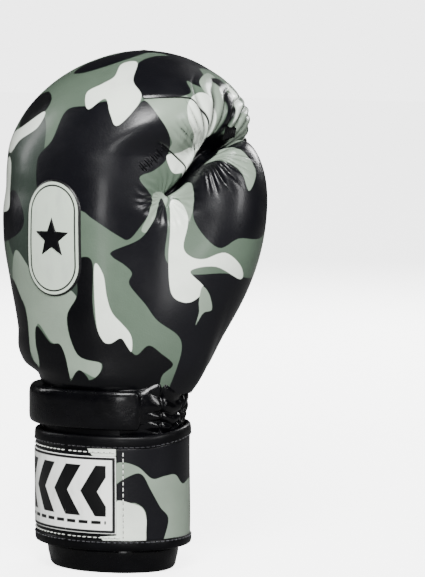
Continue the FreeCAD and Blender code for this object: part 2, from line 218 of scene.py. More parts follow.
class Finish:
    """A node material: a shader, and short ways to add the nodes that feed it."""

    def __init__(self, name, rough=.5, specular=.5, coat=0.0, coat_rough=.2, sheen=0.0):
        self.mat = bpy.data.materials.new(name)
        self.mat.use_nodes = True
        self.tree = self.mat.node_tree
        self.bsdf = self.tree.nodes["Principled BSDF"]
        for key, value in (("Roughness", rough), ("Specular IOR Level", specular), ("Coat Weight", coat),
                           ("Coat Roughness", coat_rough), ("Sheen Weight", sheen)):
            self.bsdf.inputs[key].default_value = value
        self.place = self.node("ShaderNodeTexCoord").outputs["Object"]
        self.normal = None

    def node(self, kind, **settings):
        n = self.tree.nodes.new(kind)
        for key, value in settings.items():
            setattr(n, key, value)
        return n

    def put(self, value, socket):
        if isinstance(value, bpy.types.NodeSocket):
            self.tree.links.new(value, socket)
        else:
            socket.default_value = value

    def noise(self, per_mm, detail=3.0, stretch=None, rough=.55):
        n = self.node("ShaderNodeTexNoise")
        n.inputs["Scale"].default_value = 1000 * per_mm
        n.inputs["Detail"].default_value = detail
        n.inputs["Roughness"].default_value = rough
        self.put(self.stretched(stretch) if stretch else self.place, n.inputs["Vector"])
        return n.outputs["Fac"]

    def stretched(self, scale):
        m = self.node("ShaderNodeMapping")
        m.inputs["Scale"].default_value = scale
        self.put(self.place, m.inputs["Vector"])
        return m.outputs["Vector"]

    def cells(self, per_mm):
        n = self.node("ShaderNodeTexVoronoi")
        n.inputs["Scale"].default_value = 1000 * per_mm
        self.put(self.place, n.inputs["Vector"])
        return n.outputs["Distance"]

    def value(self, name):
        return self.node("ShaderNodeAttribute", attribute_name=name).outputs["Fac"]

    def span(self, value, low, high, to_low=0.0, to_high=1.0):
        m = self.node("ShaderNodeMapRange")
        self.put(value, m.inputs["Value"])
        for key, v in zip(("From Min", "From Max", "To Min", "To Max"), (low, high, to_low, to_high)):
            m.inputs[key].default_value = v
        return m.outputs["Result"]

    def math(self, how, a, b):
        m = self.node("ShaderNodeMath", operation=how)
        self.put(a, m.inputs[0])
        self.put(b, m.inputs[1])
        return m.outputs[0]

    def mix(self, factor, a, b, how="MIX"):
        m = self.node("ShaderNodeMix", data_type="RGBA", blend_type=how)
        self.put(factor, m.inputs[0])
        self.put(a, m.inputs[6])
        self.put(b, m.inputs[7])
        return m.outputs[2]

    def bump(self, height, distance_mm, strength=1.0):
        b = self.node("ShaderNodeBump")
        b.inputs["Distance"].default_value = distance_mm * MM
        b.inputs["Strength"].default_value = strength
        self.put(height, b.inputs["Height"])
        if self.normal is not None:
            self.put(self.normal, b.inputs["Normal"])
        self.normal = b.outputs["Normal"]
        self.put(self.normal, self.bsdf.inputs["Normal"])

    def base(self, value):
        self.put(value, self.bsdf.inputs["Base Color"])

    def uneven_rough(self, per_mm, detail, low, high):
        self.put(self.span(self.noise(per_mm, detail), .3, .7, low, high), self.bsdf.inputs["Roughness"])


TONES = [("dark", "2b342e"), ("light", "7f8c7e"), ("charcoal", "0b0b0f"), ("black", "020204"),
         ("pale", "e0e8dc")]
GREY_GREEN = "4d5b4e"


def camo_finish(name, rough, coat, grain_per_mm, dim=1.0):
    """Printed leather: each tone covers those before it where the piece's value for it is above zero."""
    f = Finish(name, rough=rough, specular=.32, coat=coat, coat_rough=.2)
    tone = colour(GREY_GREEN)
    for key, code in TONES:
        tone = f.mix(f.span(f.value(key), -.22, .22), tone, colour(code))
    print_wear = f.span(f.noise(.035, 4), .35, .7, .86, 1.06)
    tone = f.mix(1.0, tone, f.mix(print_wear, [0, 0, 0, 1], [dim, dim, dim, 1]), "MULTIPLY")
    # painted shade: the fold valleys are darkened toward near-black
    tone = f.mix(f.value("painted_fold_shade"), tone, colour("0a0b0a"))
    f.base(tone)
    f.uneven_rough(.05, 5, rough - .06, rough + .08)
    f.bump(f.cells(grain_per_mm), .09, .4)
    f.bump(f.noise(.09, 5), .5, .26)
    f.bump(f.noise(.4, 5, stretch=(1, 1, 2.2), rough=.65), .16, .3)
    return f.mat


def leather_finish(name, tone="020203", rough=.3, coat=.2, crease=.5, grain_per_mm=.9):
    f = Finish(name, rough=rough, specular=.16, coat=coat, coat_rough=.14)
    f.base(f.mix(f.span(f.noise(.06, 4), .35, .7), colour(tone), colour("060608")))
    f.uneven_rough(.08, 5, rough - .08, rough + .12)
    f.bump(f.cells(grain_per_mm), .08, .4)
    f.bump(f.noise(.12, 6, rough=.6), .9, crease)
    return f.mat


def cloth_finish(name, tone_a, tone_b, thread_mm=.45, rough=.85, sheen=.25):
    f = Finish(name, rough=rough, specular=.12, sheen=sheen)
    waves = []
    for axis in ("X", "Z"):
        w = f.node("ShaderNodeTexWave", wave_type="BANDS", bands_direction=axis)
        w.inputs["Scale"].default_value = 1000 / thread_mm / 20
        w.inputs["Distortion"].default_value = .6
        f.put(f.place, w.inputs["Vector"])
        waves.append(w.outputs["Fac"])
    weave = f.math("MULTIPLY", waves[0], waves[1])
    f.base(f.mix(f.math("ADD", f.math("MULTIPLY", weave, .6), f.span(f.noise(.05, 3), .3, .7, 0, .4)),
                 colour(tone_a), colour(tone_b)))
    f.uneven_rough(.1, 3, rough - .05, rough + .08)
    f.bump(weave, .25, .7)
    return f.mat


def hook_finish(name, tone_a, tone_b, per_mm, deep):
    f = Finish(name, rough=.8, specular=.3, sheen=.3)
    pile = f.cells(per_mm)
    f.base(f.mix(f.span(pile, 0, .7), colour(tone_b), colour(tone_a)))
    f.uneven_rough(.2, 2, .7, .9)
    f.bump(pile, deep, .9)
    return f.mat


def printed_finish(name, ground, ink, rough=.32):
    """A smooth printed face: the ink follows the piece's own ink value, and both are a little scuffed."""
    f = Finish(name, rough=rough, specular=.5, coat=.15, coat_rough=.2)
    scuff = f.span(f.noise(.12, 5, stretch=(1, 1, .35)), .52, .7)
    plain = f.mix(f.math("MULTIPLY", scuff, .35), colour(ground), colour("9fa6a0"))
    f.base(f.mix(f.span(f.value("ink"), -.18, .18), plain, colour(ink)))
    f.uneven_rough(.07, 4, rough - .06, rough + .14)
    f.bump(f.noise(.25, 5), .25, .35)
    return f.mat


camo = camo_finish("camo_leather", .34, .22, .85)
strap_camo = camo_finish("strap_camo", .4, .04, 1.1, .93)
leather = leather_finish("black_leather", "050507", .36, .15)
wrinkled = leather_finish("wrinkled_leather", rough=.24, coat=.4, crease=.8)
palm_skin = leather_finish("palm_leather", "08080a", .42, .3, .6)
binding = leather_finish("binding_tape", "050506", .4, .03, .25, 1.6)
elastic = cloth_finish("elastic_webbing", "010102", "060607", .8, .8, sheen=0.0)
lining = cloth_finish("lining_fabric", "1a1a1d", "34343a", .5)
foam = hook_finish("foam", "3c3c40", "232326", .8, .3)
hook_tape = hook_finish("hook_tape", "0c0c0e", "2c2c30", 1.3, .5)
loop_tape = hook_finish("loop_tape", "101012", "333338", .9, .7)
thread_dark = cloth_finish("thread_dark", "17171a", "3a3a40", .3, .6)
thread_white = cloth_finish("thread_white", "b9bdb6", "eef0ea", .3, .6)
label_vinyl = printed_finish("label_white", "f2f4f0", "040405")
badge_vinyl = printed_finish("badge_pale", "bcc8b9", "0a0a0c", .34)
badge_ink = leather_finish("badge_dark", "0a0a0c", .34, .2, .2)

# ---- the mitt's shape ---------------------------------------------------------------------------
# Height, back, palm, little-finger side and thumb side of each section.
MITT = [
    (100, -33, 33, -38, 38), (106, -34, 33, -40, 40), (110, -37, 35, -42.5, 42.5), (115, -39, 37, -45, 45),
    (119.5, -40, 37, -53, 46.5), (125, -40.5, 37.5, -57, 47.5), (141, -42, 38, -58, 50),
    (166, -43, 42, -64, 54), (194, -44, 50, -70, 58), (209, -44, 59, -72, 61), (222, -43, 73, -73, 64),
    (234, -42, 84, -75, 66), (248, -39, 89, -75, 66), (266, -31, 88, -67, 64.5), (282, -18, 80, -52, 55),
    (292, -4, 68, -37, 40), (298, 8, 56, -23, 28), (302.5, 31, 35, -1, 5),
]
# Height, x, y and radius of balls along the thumb.
THUMB = [
    (110, 28, 6, 10), (119, 35, 8.5, 16.5), (129, 39, 10.5, 20), (141, 42.5, 12.5, 21.5), (162, 49, 16, 25.5),
    (187, 55.5, 20.5, 28), (209, 58, 24.5, 28.5), (227, 58.5, 28, 25.5), (240, 58, 30.5, 18.5),
    (248, 57.5, 31.5, 9),
]
HEART = np.array([0.0, 14.0, 198.0])      # every part of the mitt's skin is in sight of this point
MITT_TOP, MITT_FOOT = 302.5, 104.0
NO_SKIN = 32.0           # nothing nearer to the heart than this is skin
SQUARE = 2.15            # 2 would make every section an ellipse

MITT_Z, near_y, far_y, low_x, high_x = np.array(MITT, float).T
SECTIONS = np.stack([(low_x + high_x) / 2, (near_y + far_y) / 2,
                     ((high_x - low_x) / 2)**2, ((far_y - near_y) / 2)**2], 1)
chain = np.array(THUMB, float)
CHAIN_Z = np.linspace(chain[0, 0], chain[-1, 0], 44)
CHAIN = np.column_stack([through(chain[:, 0], chain[:, 1:], CHAIN_Z), CHAIN_Z])   # x, y, r, z
SMOOTH, BALL = 1.5, 26
# what melting adds to a row of balls of about that radius
MELT = SMOOTH * math.log(math.sqrt(2 * math.pi * SMOOTH * BALL) / (CHAIN_Z[1] - CHAIN_Z[0]))


def thumb_gap(p):
    """Distance to the thumb: many overlapping balls, melted together over SMOOTH."""
    total = np.full(len(p), 1e-200)
    for x, y, r, z in CHAIN:
        total += np.exp((r - np.linalg.norm(p - (x, y, z), axis=1)) / SMOOTH)
    return MELT - SMOOTH * np.log(total)


def soft_min(a, b, k):
    """The smaller of a and b, rounded over k where they are alike."""
    h = np.clip(.5 + .5 * (b - a) / k, 0, 1)
    return b + (a - b) * h - k * h * (1 - h)


def mitt_gap(p):
    """Below zero inside the mitt and its thumb, above zero outside."""
    x, y, z = p.T
    cx, cy, w2, d2 = through(MITT_Z, SECTIONS, z).T
    w, d = np.sqrt(np.maximum(w2, .01)), np.sqrt(np.maximum(d2, .01))
    q = ((np.abs(x - cx) / w)**SQUARE + (np.abs(y - cy) / d)**SQUARE)**(1 / SQUARE)
    body = (q - 1) * np.minimum(w, d) + 4 * np.maximum(z - MITT_TOP, 0)
    # the finger part stands back from the thumb
    flat = .938 * x - .346 * y - (44.8 + 25 * ramp(z, 243, 271))
    body = -soft_min(-body, -flat, 26)
    # a moat keeps the palm side of it clear of the thumb, and the two join softly at the back
    thumb = thumb_gap(p)
    moat = 9 * ramp(y, 22, 46) * (1 - ramp(z, 246, 262))
    body = np.where(moat > .05, -soft_min(-body, thumb - moat, 6), body)
    back = 1 - ramp(y, 4, 24)
    k = 5 + back * (24 * (1 - ramp(z, 186, 232)) + 3 * (1 - ramp(z, 232, 250)))
    return soft_min(body, thumb, k)


def settle(is_in, inner, outer, turns):
    """Halves the spans from inner to outer, again and again, round the place where is_in changes."""
    for _ in range(turns):
        mid = (inner + outer) / 2
        hit = is_in(mid)
        inner, outer = np.where(hit, mid, inner), np.where(hit, outer, mid)
    return inner, outer


def skin_points(ways):
    """Where rays from the heart leave the skin for the last time."""
    farthest, nearest, step = 132, 24, 5.0
    reach = np.full(len(ways), NO_SKIN - 2)
    found = np.zeros(len(ways), bool)
    for r in np.arange(farthest, nearest, -step):
        left = np.where(~found)[0]
        if not len(left):
            break
        hit = mitt_gap(HEART + ways[left] * r) < 0
        reach[left[hit]] = r
        found[left[hit]] = True
    low, high = settle(lambda r: mitt_gap(HEART + ways * r[:, None]) < 0, reach, reach + step, 13)
    return HEART + ways * ((low + high) / 2)[:, None]


def back_point(u, z):
    """The skin's point seen at (u, z) from the back."""
    u, z = np.atleast_1d(np.asarray(u, float)), np.atleast_1d(np.asarray(z, float))
    start = np.outer(u, ACROSS) + np.outer(z, UP)
    nearest, farthest, step = 90, -60, 2.0
    depth = np.full(len(u), -20.0)
    found = np.zeros(len(u), bool)
    for d in np.arange(nearest, farthest, -step):
        hit = ~found & (mitt_gap(start + FACING * d) < 0)
        depth[hit] = d
        found |= hit
    low, high = settle(lambda d: mitt_gap(start + np.outer(d, FACING)) < 0, depth, depth + step, 10)
    return start + np.outer((low + high) / 2, FACING)


def seen_place(p):
    """(u, z) of each point."""
    return np.column_stack([p @ ACROSS, p[:, 2]])


def skin_normal(p):
    e = .6
    g = np.stack([mitt_gap(p + e * a) - mitt_gap(p - e * a) for a in np.eye(3)], 1)
    return g / np.maximum(np.linalg.norm(g, axis=1, keepdims=True), 1e-9)


def ball_grid(n, focus):
    """Points and quads of a sphere made from a cube's six faces, finest at the face turned to focus."""
    s = np.linspace(-1, 1, n + 1)
    s = np.tan((.74 * s + .26 * s**3) * math.pi / 4)
    a, b = np.meshgrid(s, s, indexing="ij")
    one = np.ones_like(a)
    sides = [(one, a, b), (-one, b, a), (b, one, a), (a, -one, b), (a, b, one), (b, a, -one)]
    pts = np.concatenate([np.stack(q, -1).reshape(-1, 3) for q in sides])
    quad = grid_quads(np.arange((n + 1)**2).reshape(n + 1, n + 1))
    faces = np.concatenate([quad + k * (n + 1)**2 for k in range(6)])
    _, first, back = np.unique(np.round(pts, 6), axis=0, return_index=True, return_inverse=True)
    pts = pts[first] / np.linalg.norm(pts[first], axis=1, keepdims=True)
    turn = np.array(Vector(UP).rotation_difference(Vector(focus)).to_matrix())
    return pts @ turn.T, back.reshape(-1)[faces]


# ---- the camouflage print on the back of the mitt ------------------------------------------------
# Each patch is a smooth closed curve through a few (u, z) points, painted in this order.
PATCHES = [
    ("dark", [(-60, 262), (-48, 272), (-38, 262), (-40, 230), (-38, 200), (-40, 168), (-50, 172), (-60, 190),
              (-68, 225)]),
    ("dark", [(-25, 182), (-17, 172), (-19, 162), (-27, 170)]),
    ("light", [(-56, 187), (-49, 180), (-43, 169), (-45, 187), (-38, 178), (-26, 169), (-19, 161), (-25, 149),
               (-20, 132), (-6, 126), (-8, 116), (-17, 119), (-24, 112), (-27, 130), (-35, 136), (-43, 145),
               (-42, 119), (-48, 131), (-50, 154), (-58, 168)]),
    ("light", [(43, 231), (51, 239), (56, 240), (50, 221), (45, 205), (40, 218), (35, 221.5)]),
    ("light", [(26, 222), (34, 220), (30, 210), (23, 200.5), (18, 201), (22, 211)]),
    ("light", [(19.5, 276), (31, 277), (45, 277), (45, 264), (48, 256), (47, 249), (39, 244), (33, 246),
               (35, 252), (32, 259), (28, 266)]),
    ("charcoal", [(-44, 279), (-30, 293), (-10, 308), (8, 310), (18, 302), (4, 296), (-15, 290), (-26, 288),
                  (-34, 284)]),
    ("charcoal", [(-34, 252), (-26, 269), (-13, 272), (0, 274), (3, 262), (14, 270), (20, 275), (28, 266),
                  (33, 258), (34, 251), (32, 241), (25, 235), (17, 231), (24.5, 220), (23, 213), (18, 204),
                  (11, 196), (5, 198), (-10, 208), (-18, 213), (-40, 216), (-43, 240)]),
    ("charcoal", [(16, 296), (30, 300), (46, 297), (54, 288), (54, 281), (44, 286), (46, 279), (34, 277),
                  (18, 277), (13, 285)]),
    ("light", [(58, 260), (56, 275), (51, 285), (57, 290), (63, 283), (67, 272), (66, 260), (62, 255)]),
    ("light", [(71, 250), (71, 262), (75, 272), (80, 266), (82, 256), (79, 249)]),
    ("charcoal", [(58, 287), (64, 285), (69, 276), (72, 268), (67, 257), (65, 258), (67.5, 265), (67.5, 272),
                  (64, 280)]),
    ("charcoal", [(-58, 222), (-52, 213), (-51, 202), (-58, 194), (-70, 190), (-70, 208)]),
    ("charcoal", [(31, 219), (24.5, 206), (17, 196), (1.5, 189.5), (1.5, 186), (8, 181.5), (12.5, 176.5),
                  (11, 170), (20, 158.5), (27, 149), (38.5, 140.5), (41, 132.5), (38, 120.5), (33, 107),
                  (31, 98), (60, 98), (80, 124), (98, 168), (80, 172), (66, 176), (44, 176), (32, 184),
                  (33, 203)]),
    ("charcoal", [(48, 234), (60, 243), (73, 239), (78, 228), (92, 214), (88, 196), (74, 196), (62, 191),
                  (49, 205), (48, 220)]),
    ("charcoal", [(70, 252), (84, 250), (98, 232), (94, 208), (78, 214), (74, 240)]),
    ("light", [(60, 244), (64, 250), (71, 251), (79, 243), (84, 233), (80, 223), (76, 233), (69, 239)]),
    ("black", [(-36, 278), (-38, 269), (-50, 260), (-58, 253), (-66, 262), (-52, 281)]),
    ("black", [(-60, 170), (-53, 160), (-49, 148), (-47, 126), (-42, 118), (-40, 98), (-64, 98), (-68, 150)]),
    ("black", [(-43, 144), (-35, 135), (-29, 134), (-25, 122), (-24, 104), (-42, 104), (-42, 122),
               (-44, 134)]),
    ("black", [(-20, 181), (-15, 186), (-10, 182), (-10, 160), (-8, 146), (-4, 138), (0, 136), (6, 139),
               (10, 134), (15, 129), (22, 134.5), (29.5, 129.5), (36, 123), (30, 117), (28, 110), (25, 98),
               (-26, 98), (-24, 112), (-10, 115), (-5, 124), (-19, 129), (-25, 150), (-19, 164)]),
    ("black", [(-18, 120), (-12, 113), (-14, 102), (-26, 102), (-23, 113)]),
    ("pale", [(-39, 268), (-43, 259), (-54, 251), (-60, 243), (-68, 238), (-64, 250), (-52, 259)]),
    ("pale", [(-68, 243), (-60, 240), (-60, 222), (-61, 210), (-70, 211)]),
    ("pale", [(15, 296), (13, 286), (18, 278), (14, 270), (4, 261), (0, 268), (-3, 276), (-13, 270),
              (-14, 279), (-5, 284), (2, 288), (6, 295)]),
    ("pale", [(44.5, 273), (50, 279), (58, 276), (62, 267), (62.5, 259), (58, 252), (51, 244), (47, 247),
              (48, 256), (45, 264)]),
    ("pale", [(32.5, 243.5), (39, 245), (46, 248), (50, 242), (47, 235), (42, 234), (37, 233), (34, 237)]),
    ("pale", [(66, 285), (71, 282), (76, 275), (75, 270), (72, 264), (72, 270), (70, 277)]),
    ("pale", [(-9, 181), (-4, 176), (-2, 163.5), (1, 154), (7, 147), (11, 142), (12.5, 137), (12, 131),
              (9.5, 134.5), (6, 139), (0, 136), (-4.5, 138), (-8, 149)]),
    ("pale", [(35, 217), (40, 217), (45, 207), (42, 192), (46, 186), (54, 184.5), (66, 188), (75, 180),
              (75, 172), (61, 180), (46, 177.5), (54, 168), (49, 161), (42, 159.5), (35, 165), (33.5, 184),
              (34.5, 200)]),
    ("light", [(53, 168.5), (57, 164), (58.5, 155), (53.5, 153), (49, 146), (51, 153.5), (51, 160)]),
    ("pale", [(-23, 193), (-20, 188), (-24, 184)]),
]
# The slit between finger part and thumb, half its width at shares of its length, and the seams by it.
SLIT = [(34.5, 222), (45, 231.5), (52.5, 240), (58.5, 247), (63, 252.5), (66.5, 256.5), (70.5, 257)]
SLIT_HALF = [(0, .6), (.25, 1.7), (.5, 2.2), (.68, 3.8), (.82, 5.4), (.95, 5.4), (1, 4.6)]
SEAMS = [[(19.5, 276.5), (31, 277), (45, 276.5), (52, 271), (57, 264), (60, 257)],
         [(41, 259), (47, 252), (50, 245), (51, 240)], [(28.5, 250.5), (33, 247), (39.5, 241), (46.5, 235)]]


def painted(uv, patches):
    """For each tone, how far inside its patches each point is; a later patch cuts the earlier tones."""
    tones = {key: np.full(len(uv), -FAR_INSIDE) for key, _ in TONES}
    for key, points in patches:
        d = inside_by(uv, smooth_line(points, True))
        for other in tones:
            tones[other] = np.maximum(tones[other], d) if other == key else np.minimum(tones[other], -d)
    return tones


def stray_camo(p):
    """The same kind of print where no patch is placed: clouds of noise cut at a level."""
    warp = 7 * np.stack([cloud(p, 22, 3.3), cloud(p, 22, 8.1), cloud(p, 22, 5.7)], 1)
    q = p + warp
    return {key: (cloud(q, 30, 1.7 + 3.1 * i) - level) * 26
            for i, ((key, _), level) in enumerate(zip(TONES, (.22, .3, .2, .3, .44)))}


def lumps(p):
    """Slow unevenness of hand-stuffed padding."""
    return .6 * cloud(p, 36, 2.2) + .14 * cloud(p, 17, 6.1)


# Where the finger part meets the thumb: along the slit, over the thumb's tip and down the palm side.
slit_line = smooth_line(SLIT, False)
slit_length = np.linalg.norm(np.diff(slit_line, axis=0), axis=1).sum()
cleft = np.vstack([back_point(slit_line[:, 0], slit_line[:, 1]),
                   smooth_line([(58, 42, 256), (46, 56, 249), (36, 62, 236), (31, 60, 222), (29, 54, 208)],
                               False)])
# Fans of folds: the point they spread from, the part they lie on (1 finger, 0 thumb), degrees from fold to
# fold, depth, where along the cleft they start, and how far from it they reach.
FANS = [((62, 230), 1, 7.2, 2.7, (20, 36), 22), ((54, 252), 0, 9.0, 2.1, (14, 24), 16)]
pleat_size = rng.uniform(.6, 1.25, 60)
SLIT_FOOT, SWELLING, BULGE_Z = (33, 219), (39, 251), 262


def creases(p):
    """What is sewn and gathered by the thumb: height, pull to the heart, blackness and painted fold shade."""
    uv = seen_place(p)
    front = ramp(p @ FACING, -42, -22)
    d, s, _ = near_line(uv, slit_line)
    ahead = np.clip(s / slit_length, 0, 1)
    half = through([q for q, _ in SLIT_HALF], [[h] for _, h in SLIT_HALF], ahead)[:, 0]
    depth = (5 + 15 * ramp(ahead, 0, .6)) * front
    pull = depth / (1 + (d / (half + .5))**3.4)
    dark = (half + .5 - d) * front - 9 * (1 - front)

    far, run, _ = near_line(p, cleft)
    finger = ramp(mitt_side(p), -1.5, 2)
    height, painted_fold_shade = 0.0, 0.0
    for (u0, z0), on_finger, pitch, deep, starts, reach in FANS:
        part = finger if on_finger else (1 - finger) * (1 - ramp(run, 40, 50))
        turn = np.degrees(np.arctan2(uv[:, 1] - z0, uv[:, 0] - u0))
        count = turn / pitch + .45 * np.sin(turn * .11 + u0) + .3 * cloud(p, 15, z0 * .1)
        i = np.floor(count).astype(int) % len(pleat_size)
        longer = reach * (.75 + pleat_size[i])
        here = ramp(run, *starts) * part * ramp(far, .7 * half, half + 3)
        here *= 1 - ramp(far, longer * .4, longer)
        here *= (.5 + .5 * ramp(p @ FACING, -34, 6)) * (1 - .5 * ramp(run, 84, 106))
        fold = np.abs(np.sin(math.pi * count))**.7
        height += deep * (fold - .62) * pleat_size[i] * here
        # painted shade in each fold's valley, darkest at its bottom
        painted_fold_shade += .94 * (1 - ramp(fold, .2, .7)) * here * np.clip(pleat_size[i], 0, 1)
    # the finger part bulges over the slit's upper end
    height += 2.8 * np.exp(-((uv[:, 1] - BULGE_Z) / 12)**2) * ramp(uv[:, 0], 64, 79) * finger * front
    # a soft swelling between two seams
    height += 1.7 * np.exp(-((uv - SWELLING)**2).sum(1) / 36) * front
    # the leather is drawn in round the slit's low end, in fine wrinkles
    du, dz = (uv - SLIT_FOOT).T
    off = np.hypot(du, dz)
    around = np.degrees(np.arctan2(dz, du))
    fine = np.sin(math.pi * (around / 9 + .8 * cloud(p, 7, 4.0))) * ramp(off, 2, 6) * (1 - ramp(off, 9, 22))
    swelling = 1.2 * np.exp(-((off - 15) / 6.0)**2) * ramp(-dz, 0, 12)
    height += front * (.28 * fine - 3.0 * np.exp(-(off / 8.5)**2) + swelling)
    for line in SEAMS:
        ds, _, _ = near_line(uv, smooth_line(line, False))
        height -= .6 * np.exp(-(ds / .8)**2) * front
        dark = np.maximum(dark, np.where(front > .5, .5 - ds, -9))
    return height, pull, dark, painted_fold_shade


def mitt_side(p):
    """Above zero on the finger part, below zero on the thumb."""
    off, _, side = near_line(seen_place(p), slit_line)
    w = ramp(p @ FACING, -20, 4)
    return w * side * off + (1 - w) * (thumb_gap(p) - 4)


def palm_edge(p):
    """Above zero where the skin is the palm's black leather."""
    x, y, z = p.T
    palm_face = y - 22 - .12 * np.abs(x + 6)
    under_curl = 214 + .0035 * (x + 4)**2 - z
    clear_of_thumb = thumb_gap(p) - 5.0
    little_side = x + 46 - .0006 * (z - 165)**2
    gap = np.minimum(under_curl, np.minimum(clear_of_thumb, np.minimum(palm_face, little_side)))
    channel = np.minimum(np.minimum(clear_of_thumb + 3, 9 - clear_of_thumb),
                         np.minimum(y - 36, 252 - z))
    return np.maximum(gap, np.minimum(channel, x - 8))


def skin_split(points, faces, edge):
    """Splits a skin where edge(p) changes sign, with its rim moved on to the line."""
    value = edge(points)
    side = value[faces].mean(1) > 0
    on = np.zeros(len(points), int)
    on[np.unique(faces[side])] |= 1
    on[np.unique(faces[~side])] |= 2
    rim = np.where(on == 3)[0]
    q = points[rim]
    for _ in range(3):
        v = edge(q)
        e = .5
        g = np.stack([edge(q + e * a) - edge(q - e * a) for a in np.eye(3)], 1) / (2 * e)
        move = -v[:, None] * g / np.maximum((g * g).sum(1, keepdims=True), .05)
        q = q + np.clip(move, -.9, .9)
        way = q - HEART
        q = skin_points(way / np.linalg.norm(way, axis=1, keepdims=True))
    points = points.copy()
    points[rim] = q
    return points, side


def part_of(faces, keep):
    """The points that the kept faces use, and those faces with the points numbered anew."""
    used, back = np.unique(faces[keep], return_inverse=True)
    return used, back.reshape(-1, 4)


SLIT_WAY = (.62, -.12, .77)     # from the heart to the slit, where the mesh is finest
ways, quads = ball_grid(192, SLIT_WAY)
base = skin_points(ways)
keep = ((base[quads][:, :, 2] > MITT_FOOT).all(1)
        & (np.linalg.norm(base[quads].mean(1) - HEART, axis=1) > NO_SKIN))
used, quads = part_of(quads, keep)
base = base[used]
base, is_palm = skin_split(base, quads, palm_edge)
normals = skin_normal(base)
height, pull, dark, painted_fold_shade = creases(base)
palm_depth = palm_edge(base)
inner = HEART - base
inner /= np.linalg.norm(inner, axis=1, keepdims=True)
height += lumps(base) * (.4 + .6 * ramp(base[:, 2], 120, 150))
# The palm's leather: two sewn lines and a soft fold where the hand closes.
px, pz = base[:, 0], base[:, 2]
ridge = np.zeros(len(base))
for line in ([(-24, 112), (-26, 150), (-22, 196)], [(2, 112), (4, 150), (10, 180), (20, 200)]):
    ds, _, _ = near_line(np.column_stack([px, pz]), smooth_line(line, False))
    ridge -= 1.3 * np.exp(-(ds / 1.3)**2)
ridge += .8 * np.sin(pz * .42 + .08 * px) * ramp(pz, 176, 196) * (1 - ramp(pz, 208, 216))
height += ridge * ramp(palm_depth, 1, 6)
skin = base + normals * height[:, None] + inner * pull[:, None]

tones = painted(seen_place(base), PATCHES)
wild = stray_camo(base)
seen = ramp(base @ FACING + 6 * cloud(base, 24, 2.0), -28, -8)
for key in tones:
    tones[key] = seen * tones[key] + (1 - seen) * wild[key]
tones["pale"] = np.minimum(tones["pale"], -dark)
tones["black"] = np.maximum(tones["black"], dark)
# painted shade for the fold valleys, read by the camo finish
tones["painted_fold_shade"] = painted_fold_shade

for name, chosen, finish, slot, values, nodes in (
        ("mitt_skin", ~is_palm, camo, "camo_leather", tones,
         ["back_shell", "thumb_outer_panel", "thumb_inner_panel", "impact_foam_outer", "impact_foam_inner",
          "wrist_foam", "finger_foam", "thumb_foam"]),
        ("palm_skin", is_palm, palm_skin, "black_leather", {}, ["palm_panel", "palm_foam", "thumb_web"])):
    used, faces = part_of(quads, chosen)
    obj = piece(name, skin[used], faces, **{key: value[used] for key, value in values.items()})
    finish_piece(obj, finish, "glove", nodes)


def rim_loops(points, faces, chosen):
    """Closed rims of the chosen faces, as lists of points."""
    f = faces[chosen]
    edges = np.concatenate([f[:, [0, 1]], f[:, [1, 2]], f[:, [2, 3]], f[:, [3, 0]]])
    key = np.sort(edges, 1)
    _, first, count = np.unique(key, axis=0, return_index=True, return_counts=True)
    follow = {}
    for a, b in edges[first[count == 1]]:
        follow.setdefault(a, []).append(b)
    loops = []
    while follow:
        start = at = next(iter(follow))
        loop = []
        while at in follow:
            loop.append(at)
            nxt = follow[at].pop()
            if not follow[at]:
                del follow[at]
            at = nxt
            if at == start:
                break
        loops.append(points[loop])
    return loops


def tube(line, radius, closed, around=10, out=None):
    """A round bead along a line of points; out is the way that its first side faces."""
    n = len(line)
    if closed:
        along = np.roll(line, -1, 0) - np.roll(line, 1, 0)
    else:
        along = np.gradient(line, axis=0)
    along /= np.maximum(np.linalg.norm(along, axis=1, keepdims=True), 1e-9)
    up = out if out is not None else line - HEART
    up = up - (up * along).sum(1, keepdims=True) * along
    up /= np.linalg.norm(up, axis=1, keepdims=True)
    across = np.cross(along, up)
    r = np.broadcast_to(np.asarray(radius, float), (n,))
    turn = round_turn(around)
    ring = (line[:, None] + r[:, None, None] * (np.cos(turn)[None, :, None] * up[:, None]
                                                + np.sin(turn)[None, :, None] * across[:, None]))
    i = np.arange(n * around).reshape(n, around)
    faces = ring_quads(i, closed).tolist()
    if not closed:
        faces += [i[0].tolist()[::-1], i[-1].tolist()]
    return ring.reshape(-1, 3), faces


def merged(name, bits):
    """One piece from many (points, faces)."""
    verts, faces, start = [], [], 0
    for v, f in bits:
        verts.append(v)
        faces += [[k + start for k in q] for q in f]
        start += len(v)
    return piece(name, np.vstack(verts), faces)


# Black piping over the seam between the palm and the camouflage.
bits = []
for line in rim_loops(skin, quads, is_palm):
    if len(line) <= 40:
        continue
    for _ in range(10):
        line = (line + .5 * (np.roll(line, 1, 0) + np.roll(line, -1, 0))) / 2
    line = line[line[:, 2] > MITT_FOOT + 3]
    gaps = np.linalg.norm(np.diff(np.vstack([line, line[:1]]), axis=0), axis=1)
    cut = int(np.argmax(gaps))
    closed = gaps[cut] < 6
    if not closed:
        line = np.roll(line, -cut - 1, 0)
    line = line[::2] if len(line) > 120 else line
    bits.append(tube(line, 1.25, closed))
finish_piece(merged("palm_piping", bits), binding, "glove")


# ---- the cuff ------------------------------------------------------------------------------------
def ring_point(a, t, z, out):
    """A point on the cuff's oval of half-width a, moved out along its normal; t in degrees."""
    t = np.radians(np.asarray(t, float))
    b = a - FLATTEN
    x, y = a * np.cos(t), b * np.sin(t)
    nx, ny = b * np.cos(t), a * np.sin(t)
    size = np.hypot(nx, ny)
    return np.stack([x + out * nx / size, y + out * ny / size, np.broadcast_to(z, x.shape) * 1.0], -1)


